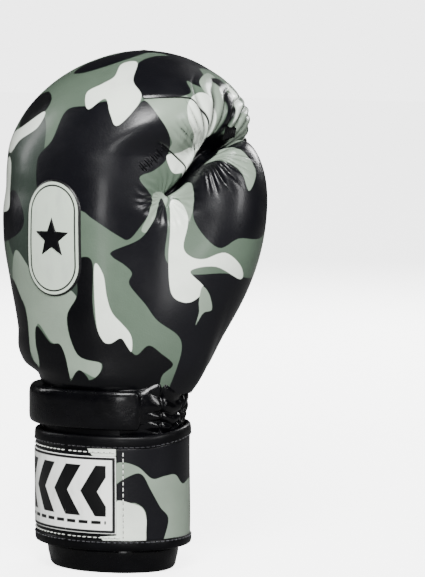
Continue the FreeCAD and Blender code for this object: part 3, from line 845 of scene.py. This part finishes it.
def slab(z0, z1, thick, corner, rows):
    """Outline of a band's section as (out, z), with rounded corners: outer face first, then inner."""
    corner = min(corner, thick / 2.01, (z1 - z0) / 2.01)
    turn = np.linspace(0, math.pi / 2, 5)
    face = np.linspace(z0 + corner, z1 - corner, rows)
    outer = [(thick, z) for z in face]
    top = [(thick - corner + corner * math.cos(q), z1 - corner + corner * math.sin(q)) for q in turn[1:]]
    top += [(corner - corner * math.sin(q), z1 - corner + corner * math.cos(q)) for q in turn]
    inner_face = [(0.0, z) for z in face[::-1][1:]]
    foot = [(corner - corner * math.cos(q), z0 + corner - corner * math.sin(q)) for q in turn[1:]]
    foot += [(thick - corner + corner * math.sin(q), z0 + corner - corner * math.cos(q)) for q in turn[:-1]]
    return np.array(outer + top + inner_face + foot)


def band(a, t0, t1, section, step, shape=None):
    """Sweeps a section round the cuff's oval from t0 to t1; shape(t, out, z) may move its points."""
    ts = np.linspace(t0, t1, max(int(abs(t1 - t0) * PER_DEGREE / step), 4) + 1)
    tt = np.repeat(ts, len(section))
    out = np.tile(section[:, 0], len(ts))
    z = np.tile(section[:, 1], len(ts))
    if shape is not None:
        out, z = shape(tt, out, z)
    verts = ring_point(a, tt, z, out)
    m = len(section)
    i = np.arange(len(verts)).reshape(-1, m)
    faces = ring_quads(i).tolist() + [list(range(i.size, i.size + m)),
                                      list(range(i.size + m, i.size + 2 * m))[::-1]]
    if t1 < t0:
        faces = [f[::-1] for f in faces]
    again = np.r_[:len(verts), i[0], i[-1]]     # the cut ends have corners of their own, so they stay crisp
    return verts[again], faces, tt[again], out[again], z[again]


def band_piece(name, look, slot, body, nodes, fill, *sweep):
    verts, faces, *_ = band(*sweep)
    finish_piece(piece(name, verts, faces), look, body, nodes)


# Each ring round the cuff has a half-width, and places along it are in degrees.
STRAP_A, LABEL_A, BINDING_A = 45.5, 47.75, 46.1
STRAP_LOW, STRAP_HIGH, HINGE_Z = 20.4, 75.0, 47.6
START, BASE, JOIN, TIP = 106.0, 78.0, -100.0, -232.0    # the strap's sewn end, its joins, and its loose end
OVER = .1                # the strap's pieces overlap this much where they join


def crossing(t, reach=14.0):
    """Start and end of a bend round the cuff at the angle t (as seen from its axis), clockwise, in metres."""
    here = np.array([math.cos(math.radians(t)), math.sin(math.radians(t))])
    a, b = STRAP_A, STRAP_A - FLATTEN
    x, y = here * (1 / math.hypot(here[0] / a, here[1] / b))
    way = np.array([a * a * y, -b * b * x])
    way /= np.linalg.norm(way)
    mid = np.array([x, y, HINGE_Z])
    step = np.array([*way, 0.0]) * reach
    return tuple((mid - step + AXIS) * MM), tuple((mid + step + AXIS) * MM)


# The two bends of the strap, as the bodies they join and where they start and end.
FIRST = ("glove", "strap_middle", *crossing(-51.5))
SECOND = ("strap_middle", "strap_end", *crossing(-148.0))

STRAP_PATCHES = [        # (degrees, z)
    ("light", [(-74, 6), (-74, 90), (20, 90), (32, 48), (20, 6)]),
    ("charcoal", [(-68, 66), (-56, 67), (-44, 64), (-33, 57), (-22, 58), (-10, 58), (0, 52), (14, 54),
                  (28, 52), (36, 60), (34, 88), (-20, 88), (-60, 80)]),
    ("charcoal", [(-53, 58), (-42, 60), (-34, 50), (-26, 40), (-18, 33), (-22, 22), (-30, 12), (-42, 18),
                  (-38, 36), (-46, 43), (-58, 43), (-62, 52)]),
    ("pale", [(-64, 43), (-50, 43), (-40, 39), (-38, 28), (-44, 12), (-84, 12), (-80, 24)]),
    ("charcoal", [(30, 44), (44, 50), (60, 46), (72, 30), (62, 12), (40, 12), (36, 28)]),
    ("light", [(48, 80), (66, 84), (84, 70), (76, 56), (58, 62)]),
]


def strap_tones(t, out, z, verts):
    """The strap's print: placed patches by the thumb, clouds round the palm side, a black inner face."""
    placed = painted(np.column_stack([t * PER_DEGREE, z]),
                     [(key, [(x * PER_DEGREE, y) for x, y in points]) for key, points in STRAP_PATCHES])
    wild = stray_camo(verts + 50)
    w = 1 - ramp(t, 66, 82)
    tones = {key: w * placed[key] + (1 - w) * wild[key] for key in placed}
    # under and past the label the band is plain black, with a worn white strip above the label's corner
    black = np.where(z > 23.5, -60.6 - t, -73 - t + (23.5 - z)) * PER_DEGREE
    strip = np.minimum(np.minimum(-61 - t, t + 79 + z - 71) * PER_DEGREE, z - 70.2)
    inner = (.7 - out) * 6
    for key in tones:
        tones[key] = np.minimum(tones[key], -np.maximum(black, inner))
    tones["black"] = np.maximum(tones["black"], np.maximum(black, inner))
    tones["pale"] = np.maximum(tones["pale"], np.minimum(strip, -inner))
    return tones


def rise(t, z):
    """The strap's upper edge sits higher by the thumb."""
    return 4.5 * ramp(t, -46, 24) * (1 - ramp(t, 66, 100)) * ramp(z, 40, 74)


def flat_place(t, z):
    """The surface round the cuff rolled out flat, for noise."""
    return np.column_stack([t * PER_DEGREE, z, z * 0])


def wavy(amount, size=26.0, seed=1.0):
    def shape(t, out, z):
        swell = cloud(flat_place(t, z), size, seed) * amount
        return out + swell * ramp(out, .1, 1.0), z + rise(t, z)
    return shape


SEGMENTS = (("base", START, BASE + 2 * OVER, "glove", "base"), ("middle", BASE, JOIN + OVER, FIRST, "mid"),
            ("end", JOIN - OVER, TIP, SECOND, "tip"))
for part, t0, t1, body, word in SEGMENTS:
    verts, faces, tt, out, z = band(STRAP_A, t0, t1, slab(STRAP_LOW, STRAP_HIGH, 2.2, 1.0, 60), 1.0, wavy(.3))
    obj = piece(f"strap_{part}_skin", verts, faces, **strap_tones(tt, out, z, verts))
    finish_piece(obj, strap_camo, body, [f"strap_{word}"])


def half_round(z0, z1, proud):
    """Section of a folded binding: a low dome on a flat back."""
    turn = np.linspace(0, math.pi, 13)
    mid, half = (z0 + z1) / 2, (z1 - z0) / 2
    dome = [(.3 + proud * math.sin(q)**.55, mid - half * math.cos(q)) for q in turn]
    return np.array(dome + [(-.6, z1 - .8), (-.6, z0 + .8)])


def stitch_row(lines, length, gap, radius, start=1.0):
    """Short raised threads along lines; each line is at(s), its points and outward ways, and its length."""
    bits = []
    for at, total in lines:
        s = start
        while s + length < total:
            pts, outs = at(np.linspace(s, s + length, 5))
            sink = np.array([-.5, .55, .8, .55, -.5])[:, None] * radius
            bits.append(tube(pts + outs * sink, radius * np.array([.55, 1, 1, 1, .55]), False, 6, outs))
            s += length + gap
    return bits


def stitch_line(a, t, z, out):
    """A line for stitches through the places t, z round the cuff."""
    p = ring_point(a, t, z, out)
    o = ring_point(a, t, z, out + 1) - p
    run = np.concatenate([[0], np.cumsum(np.linalg.norm(np.diff(p, axis=0), axis=1))])

    def at(s):
        return [np.stack([np.interp(s, run, q[:, k]) for k in range(3)], 1) for q in (p, o)]
    return at, run[-1]


def round_line(a, t0, t1, z, out):
    t = np.linspace(t0, t1, 400)
    return stitch_line(a, t, z + rise(t, np.full(len(t), float(z))), out)


for part, t0, t1, body, word in SEGMENTS:
    for edge, z0, z1, sewn_at in (("upper", 73.8, 81.6, 75.4), ("lower", 14.8, 21.4, 19.9)):
        band_piece(f"strap_{part}_{edge}_tape", binding, "binding_tape", body,
                   [f"strap_{word}_{edge}_binding"], None,
                   BINDING_A, t0, t1, half_round(z0, z1, 2.0), 1.2, wavy(.35, 9.0, 4.0))
        row = stitch_row([round_line(BINDING_A, t0, t1, sewn_at, 2.1)], 2.3, .9, .3)
        finish_piece(merged(f"strap_{part}_{edge}_stitches", row), thread_dark, body)

# The label: white vinyl with a black frame, plain chevrons and a dashed line.
LABEL_START, LABEL_END = -61.0, -172.0
LABEL_LOW, LABEL_HIGH = 25.0, 70.0


def label_ink(t, z):
    """Above zero where the label is black."""
    s = (LABEL_START - t) * PER_DEGREE
    width = (LABEL_START - LABEL_END) * PER_DEGREE
    edge = np.minimum(np.minimum(s, width - s), np.minimum(z - LABEL_LOW, LABEL_HIGH - z))
    frame_line = .8 - np.abs(edge - 1.2)
    mid = (LABEL_LOW + LABEL_HIGH) / 2
    pitch, bold = 17.0, 4.6
    q = (s - 6 + .55 * np.abs(z - mid - 2)) % pitch
    chevron = np.minimum(bold - np.abs(q - pitch / 2), np.minimum(edge - 5.2, z - LABEL_LOW - 10))
    dashes = np.minimum(1.0 - np.abs(z - LABEL_LOW - 6.5), edge - 5.2)
    dashes = np.minimum(dashes, 2.6 - np.abs(s % 7.0 - 3.5))
    return np.maximum.reduce([frame_line, chevron, dashes])


for name, t0, t1, body, nodes in (("label_first", LABEL_START, JOIN + .05, FIRST, ["label_mid"]),
                                  ("label_second", JOIN - .05, LABEL_END, SECOND, ["label_tip"])):
    verts, faces, tt, _, z = band(LABEL_A - .1, t0, t1, slab(LABEL_LOW, LABEL_HIGH, .9, .3, 100), .45,
                                  wavy(.18, 14.0, 9.0))
    obj = piece(name, verts, faces, ink=label_ink(tt, z))
    finish_piece(obj, label_vinyl, body, nodes)

# White thread beside the label and along its top and foot, with short black beads between the stitches as
# painted shade in the needle holes.
STITCH, HOLE_SHADE, PITCH, PROUD = 2.4, .8, 3.4, 2.35
LOW_ROW, HIGH_ROW = 22.6, 72.4
thread_rows = [
    ("label_side", FIRST, [stitch_line(STRAP_A, np.full(60, -55.6), np.linspace(21.5, 73.5, 60), PROUD)]),
    ("label_first", FIRST, [round_line(STRAP_A, t, JOIN + .3, z, PROUD)
                            for t, z in ((-57, LOW_ROW), (-60.5, HIGH_ROW))]),
    ("label_second", SECOND, [round_line(STRAP_A, JOIN - .3, LABEL_END, z, PROUD)
                              for z in (LOW_ROW, HIGH_ROW)])]
for name, body, lines in thread_rows:
    thread = merged(name + "_stitches", stitch_row(lines, STITCH, PITCH - STITCH, .36))
    finish_piece(thread, thread_white, body)
    # black beads between the stitches: painted shade where the thread goes into the leather
    hole_shade = merged(name + "_needle_hole_shade", stitch_row(lines, HOLE_SHADE, PITCH - HOLE_SHADE, .22, 1.1 + STITCH))
    finish_piece(hole_shade, binding, body)

# Hook tape under the loose end, loop tape on the cuff.
for name, t0, t1, body, nodes in (("hook_tape_first", -112, -146, SECOND, ["hook_patch_mid"]),
                                  ("hook_tape_second", -150, -228, "strap_end", ["hook_patch_tip"])):
    band_piece(name, hook_tape, "hook_tape", body, nodes, None, 44.6, t0, t1, slab(28, 67, .8, .3, 20), 1.2)
band_piece("loop_tape_patch", loop_tape, "loop_tape", "glove", ["loop_patch"], None,
           42.9, -112, -226, slab(27, 68, 1.0, .4, 24), 1.2, wavy(.25, 3.0, 2.0))


# The sleeve under the strap, the hem, the wrist's roll and the gathered leather over it.
SPLIT, HALF_SPLIT = 94.5, 4     # the cuff's slit on the palm side, in degrees
EDGE_A, EDGE_B = SPLIT + HALF_SPLIT, SPLIT + 360 - HALF_SPLIT


def sleeve_shape(t, out, z):
    return out + .35 * cloud(flat_place(t, z), 18, 3.0) * ramp(out, .3, 1.2), z


band_piece("cuff_sleeve", leather, "black_leather", "glove", ["cuff_shell", "cuff_foam"], .5,
           39.6, EDGE_A, EDGE_B, slab(14, 108, 3.0, 1.0, 50), 1.6, sleeve_shape)


def pad_section(n, out, half_out, round_out, z, half_z, round_z):
    """Section of a padded roll: an oval round (out, z), squarer where the round_ powers are smaller."""
    x, y = np.cos(round_turn(n)), np.sin(round_turn(n))
    return np.column_stack([out + half_out * np.sign(x) * np.abs(x)**round_out,
                            z + half_z * np.sign(y) * np.abs(y)**round_z])


def hem_shape(t, out, z):
    """A padded hem with a sewn tuck near its foot, pinched together at the cuff's slit."""
    p = np.column_stack([t * PER_DEGREE, z * .6, out * .6])
    slope = (z - 8) / 8
    tuck = .5 * np.exp(-(z - 4.5)**2) * ramp(out, 1, 4)
    pinch = ramp(np.minimum(np.abs(t - EDGE_A), np.abs(EDGE_B - t)), 0, 9)
    out = 1 + (out - 1) * (.45 + .55 * pinch)
    return (out + 1.2 * slope - tuck + .6 * cloud(p, 11, 5.0) * ramp(out, 0, 3),
            8 + (z - 8) * (.8 + .2 * pinch))


verts, faces, *_ = band(36.4, EDGE_A, EDGE_B, pad_section(26, 1.0, 3.4, .7, 7.9, 7.9, .75), .8, hem_shape)
verts[:, 2] = np.maximum(verts[:, 2], .1)
finish_piece(piece("hem_padding", verts, faces), wrinkled, "glove", ["hem_roll"])

ROLL_START, ROLL_END, ROLL_Z = -208.0, -38.0, 96.4


def roll_shape(t, out, z):
    """A padded roll that is thinner towards the thumb and closes at both ends."""
    p = np.column_stack([t * PER_DEGREE, z, out])
    from_end = (ROLL_END - t) * PER_DEGREE
    from_start = (t - ROLL_START) * PER_DEGREE
    close = ramp(from_end, 1.6, 4.6) * ramp(from_start, 0, 5)
    face = ramp(out, 5, 10)
    sag = .7 * cloud(p, 26, 1.0) + .35 * cloud(p, 8, 4.4) * (1 - ramp(from_end, 10, 24) * .7)
    thick = 1 - .34 * ramp(t, -150, -62)
    out = -.4 + (out + .4) * thick
    out = 3 + (out - 3) * (.35 + .65 * close) + sag * face
    return out, ROLL_Z + (z - ROLL_Z) * (.72 + .28 * close) + .5 * cloud(p, 30, 7.0)


band_piece("wrist_padding", wrinkled, "black_leather", "glove", ["wrist_roll"], .85, 41.2, ROLL_START,
           ROLL_END, pad_section(44, 5.2, 5.6, .42, ROLL_Z, 11.2, .42), .8, roll_shape)


GATHER_Z = 82            # foot of the gathered leather's folds


def gusset_shape(t, out, z):
    """Loose leather drawn up on three upright threads, so that folds lie across between them."""
    s = t * PER_DEGREE
    p = np.column_stack([s * .7, z, z * 0])
    swell = 1.1 * cloud(p, 12, 5.0)
    for at, wide, turn in ((-15.5, 8, .05), (4, 9, -.05), (26, 8, .04)):       # each thread's folds
        near = np.exp(-((s - at) / wide)**2)
        count = (z - GATHER_Z) / 6.4 + turn * (s - at) + .5 * cloud(p, 11, 3.0 + at)
        fold = np.abs(np.sin(math.pi * count))**.85 - .6
        swell = swell + near * (2.4 * fold + .3 * cloud(p, 5, 8.0)) - 2.4 * np.exp(-((s - at) / 1.3)**2)
    waist = 2.2 * np.sin(np.clip((z - GATHER_Z) / 30, 0, 1) * math.pi)
    swell = swell * ramp(z, 81, 86) * (1 - ramp(z, 102, 109))
    lift = 9 * ramp(z, 94, 112) * ramp(t, -42, -14) * (1 - ramp(t, 50, 90))
    return out + (swell + waist + .25 * lift) * ramp(out, .2, 1.6) - 3.5 * ramp(z, 105, 112), z + lift


band_piece("wrist_gathers", wrinkled, "black_leather", "glove", ["wrist_gusset"], .3,
           41.5, -58, 152, slab(80, 112, 2.0, .8, 70), .5, gusset_shape)

# The lining of the hand's space: height, x, y, half-width and half-depth of its sections.
HAND = [(2, 0, 0, 35, 26), (30, 0, 0, 34.5, 25.5), (92, 0, 0, 34, 25), (112, 0, 0, 35, 24),
        (140, -1, 0, 38, 20), (172, -2, 3, 41, 18), (204, -3, 9, 41, 16.5), (224, -3, 17, 37, 14.5),
        (236, -3, 25, 29, 10), (240, -3, 28, 14, 5)]
HEIGHTS, AROUND, CLOTH = 90, 110, .8

rows = np.array(HAND, float)
levels = np.linspace(rows[0, 0], rows[-1, 0], HEIGHTS)
cx, cy, half_w, half_d = through(rows[:, 0], rows[:, 1:], levels).T[:, :, None]
turn = round_turn(AROUND)
v = np.stack([np.stack([cx + (half_w + grow) * np.cos(turn), cy + (half_d + grow) * np.sin(turn),
                        np.repeat(levels[:, None], AROUND, 1)], -1) for grow in (CLOTH, 0.0)]).reshape(-1, 3)
n = HEIGHTS * AROUND
i = np.arange(n).reshape(HEIGHTS, AROUND)
outer = ring_quads(i)
foot, top = ring_quads(np.stack([i[0] + n, i[0]])), ring_quads(np.stack([i[-1], i[-1] + n]))
side = v * (1, 1, 0)
size = np.maximum(np.linalg.norm(side, axis=1, keepdims=True), 1)
v = v + side / size * (.5 * cloud(v, 16, 1.5))[:, None]
lining_piece = piece("hand_lining", v, np.vstack([outer, outer[:, ::-1] + n, foot, top]))
finish_piece(lining_piece, lining, "glove", ["hand_liner"])

# The elastic at the upper end of the slit: upright ribs side by side, bowed across the cleft.
bits = []
sink = np.array([5.0, 3.4, 3.0, 3.4, 5.0])
for k in range(6):
    u = 66.5 + k * 1.1
    centre = np.interp(u, *np.transpose(SLIT))
    z = centre + np.array([-5.2, -2.6, 0, 2.6, 5.2]) * (1 - .05 * k)
    line = smooth_line(back_point(np.full(5, u) + .25 * (z - centre), z) - FACING * sink[:, None], False)
    bits.append(tube(line, .62, False, 8, np.tile(FACING, (len(line), 1))))
finish_piece(merged("thumb_web_elastic", bits), elastic, "glove", ["thumb_keeper"])

# Short ridges where hand stitching pulls the leather, beside the low end of the slit.
bits = []
way = np.array([-.62, .78])
for k in range(13):
    q = k / 12
    u, z = 18 + 14 * q, 237 + 11 * q**1.1
    length = 2.4 + 1.3 * math.sin(2.3 * k)
    ends = np.array([[u, z] + way * length * r for r in (-1, -.4, .2, 1)])
    line = back_point(ends[:, 0], ends[:, 1])
    lift = np.array([-.35, .12, .12, -.35]) + lumps(line)
    bits.append(tube(smooth_line(line + skin_normal(line) * lift[:, None], False, 4), .42, False, 8))
finish_piece(merged("stitch_ridges", bits), leather, "glove")

# ---- the badge on the back -----------------------------------------------------------------------
BADGE_X, BADGE_Z, BADGE_W, BADGE_H = -13.0, 196.0, 38.0, 68.0


def on_back(x, z, out):
    """The skin's point behind (x, z) on the back face, and moved out."""
    y, _ = settle(lambda y: mitt_gap(np.column_stack([x, y, z])) < 0,
                  np.full(len(x), -5.0), np.full(len(x), -60.0), 22)
    p = np.column_stack([x, y, z])
    return p + skin_normal(p) * (lumps(p) + np.asarray(out))[:, None]


def pill(x, z, w, h):
    """How far inside a rectangle with round ends."""
    r = w / 2
    zz = np.clip(z, -(h / 2 - r), h / 2 - r)
    return r - np.hypot(x, z - zz)


def star(x, z, radius):
    """How far inside a five-pointed star."""
    turn = [math.pi / 2 + k * math.pi / 5 for k in range(10)]
    pts = np.array([(r * math.cos(q), r * math.sin(q)) for q, r in zip(turn, [radius, radius * .42] * 5)])
    return inside_by(np.column_stack([x, z]), pts)


def patch_grid(name, inside, half_w, half_h, step, out, ink):
    """A thin raised patch: a grid cut to inside(x, z) > 0, its rim moved to the line and turned down."""
    xs = np.arange(-half_w - step, half_w + step * 1.5, step)
    zs = np.arange(-half_h - step, half_h + step * 1.5, step)
    gx, gz = np.meshgrid(xs, zs, indexing="ij")
    x, z = gx.ravel(), gz.ravel()
    v = inside(x, z)
    f = grid_quads(np.arange(len(x)).reshape(gx.shape))
    used, f = part_of(f, (v[f] > -step * .5).all(1))
    x, z = x[used], z[used]
    for _ in range(4):
        v = inside(x, z)
        e = .2
        g = np.stack([inside(x + e, z) - inside(x - e, z), inside(x, z + e) - inside(x, z - e)], 1) / (2 * e)
        move = np.where(v < 0, -v, 0)[:, None] * g
        x, z = x + move[:, 0], z + move[:, 1]
    edge = inside(x, z)
    lift = out * (1 - (1 - np.clip(edge / 1.2, 0, 1))**2) - .25
    verts = on_back(x + BADGE_X, z + BADGE_Z, lift)
    return piece(name, verts, f, ink=ink(edge))


patch = patch_grid("badge_patch", lambda x, z: pill(x, z, BADGE_W, BADGE_H), BADGE_W / 2, BADGE_H / 2,
                   .5, 1.3, lambda edge: np.maximum(1.5 - edge, .5 - np.abs(edge - 3.6)))
finish_piece(patch, badge_vinyl, "glove", ["badge_panel"])
emblem = patch_grid("badge_emblem", lambda x, z: star(x, z, 13.5), 14, 14, .4, 2.1,
                    lambda edge: np.full(len(edge), 5.0))
finish_piece(emblem, badge_ink, "glove", ["badge_star"])

# ---- CAD nodes that keep their shape -------------------------------------------------------------
for node, finish in (("thumb_liner", lining), ("grip_bar", foam)):
    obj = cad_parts[node]
    obj.data.materials.clear()
    obj.data.materials.append(finish)

# ---- stage, light and camera ---------------------------------------------------------------------
def placed_at(name, data, centre, azimuth, elevation, distance, target):
    """A light or camera seen from centre at those angles (degrees) and distance (metres)."""
    obj = bpy.data.objects.new(name, data)
    bpy.context.collection.objects.link(obj)
    az, el = math.radians(azimuth), math.radians(elevation)
    way = Vector((math.cos(el) * math.sin(az), -math.cos(el) * math.cos(az), math.sin(el)))
    obj.location = Vector(centre) + distance * way
    obj.rotation_euler = (Vector(target) - obj.location).to_track_quat("-Z", "Y").to_euler()
    return obj


def soft_box(name, azimuth, elevation, distance, size, power, shine=True):
    light = bpy.data.lights.new(name, "AREA")
    light.shape = "RECTANGLE"
    light.size, light.size_y = size
    light.energy = power
    obj = placed_at(name, light, (0, 0, .15), azimuth, elevation, distance, (0, 0, .17))
    obj.visible_glossy = shine


DISTANCE, VIEW_HEIGHT, FILM = 2.0, .3385, 36
aim = (ACROSS * 58.8 + np.array([0, 0, 163.8]) + AXIS) * MM
camera = placed_at("camera", bpy.data.cameras.new("camera"), aim, VIEW_TURN, 5.5, DISTANCE, aim)
camera.data.lens = FILM * DISTANCE / VIEW_HEIGHT
bpy.context.scene.camera = camera

floor = bpy.data.meshes.new("floor")
floor.from_pydata([(-6, -6, 0), (6, -6, 0), (6, 6, 0), (-6, 6, 0)], [], [(0, 1, 2, 3)])
floor_obj = bpy.data.objects.new("floor", floor)
bpy.context.collection.objects.link(floor_obj)
pale_floor = Finish("pale_floor", rough=.9, specular=.1)
seen_only = pale_floor.node("ShaderNodeLightPath").outputs["Is Camera Ray"]
mottle = pale_floor.mix(pale_floor.span(pale_floor.noise(.002, 2), .3, .7),
                        colour("f4f4f3"), colour("fbfbfa"))
pale_floor.base(pale_floor.mix(seen_only, colour("585858"), mottle))
pale_floor.bsdf.inputs["Emission Color"].default_value = (1, 1, 1, 1)
pale_floor.put(pale_floor.math("MULTIPLY", seen_only, 3.75), pale_floor.bsdf.inputs["Emission Strength"])
floor.materials.append(pale_floor.mat)

# A dim room for reflections, and a white backdrop where the camera looks past the glove.
world = bpy.data.worlds.new("studio")
bpy.context.scene.world = world
world.use_nodes = True
tree = world.node_tree
room, backdrop = tree.nodes["Background"], tree.nodes.new("ShaderNodeBackground")
for shader, strength in ((room, .03), (backdrop, 4.0)):
    shader.inputs[0].default_value = (1, 1, 1, 1)
    shader.inputs[1].default_value = strength
ray = tree.nodes.new("ShaderNodeLightPath")
choose = tree.nodes.new("ShaderNodeMixShader")
tree.links.new(ray.outputs["Is Camera Ray"], choose.inputs[0])
tree.links.new(room.outputs[0], choose.inputs[1])
tree.links.new(backdrop.outputs[0], choose.inputs[2])
tree.links.new(choose.outputs[0], tree.nodes["World Output"].inputs["Surface"])

soft_box("key", 28, 46, 1.3, (.42, .5), 26)
soft_box("front", 30, 18, 1.7, (1.2, 1.0), 42, shine=False)
soft_box("low_front", 24, 2, 1.6, (.4, .3), 3)
soft_box("thumb_side", 84, 22, 1.5, (.3, .5), 8)
soft_box("little_side", -80, 25, 1.6, (.3, .9), 6)
soft_box("palm", 205, 30, 1.7, (1.0, .9), 40, shine=False)
soft_box("palm_shine", 170, 28, 1.5, (.3, .6), 16)
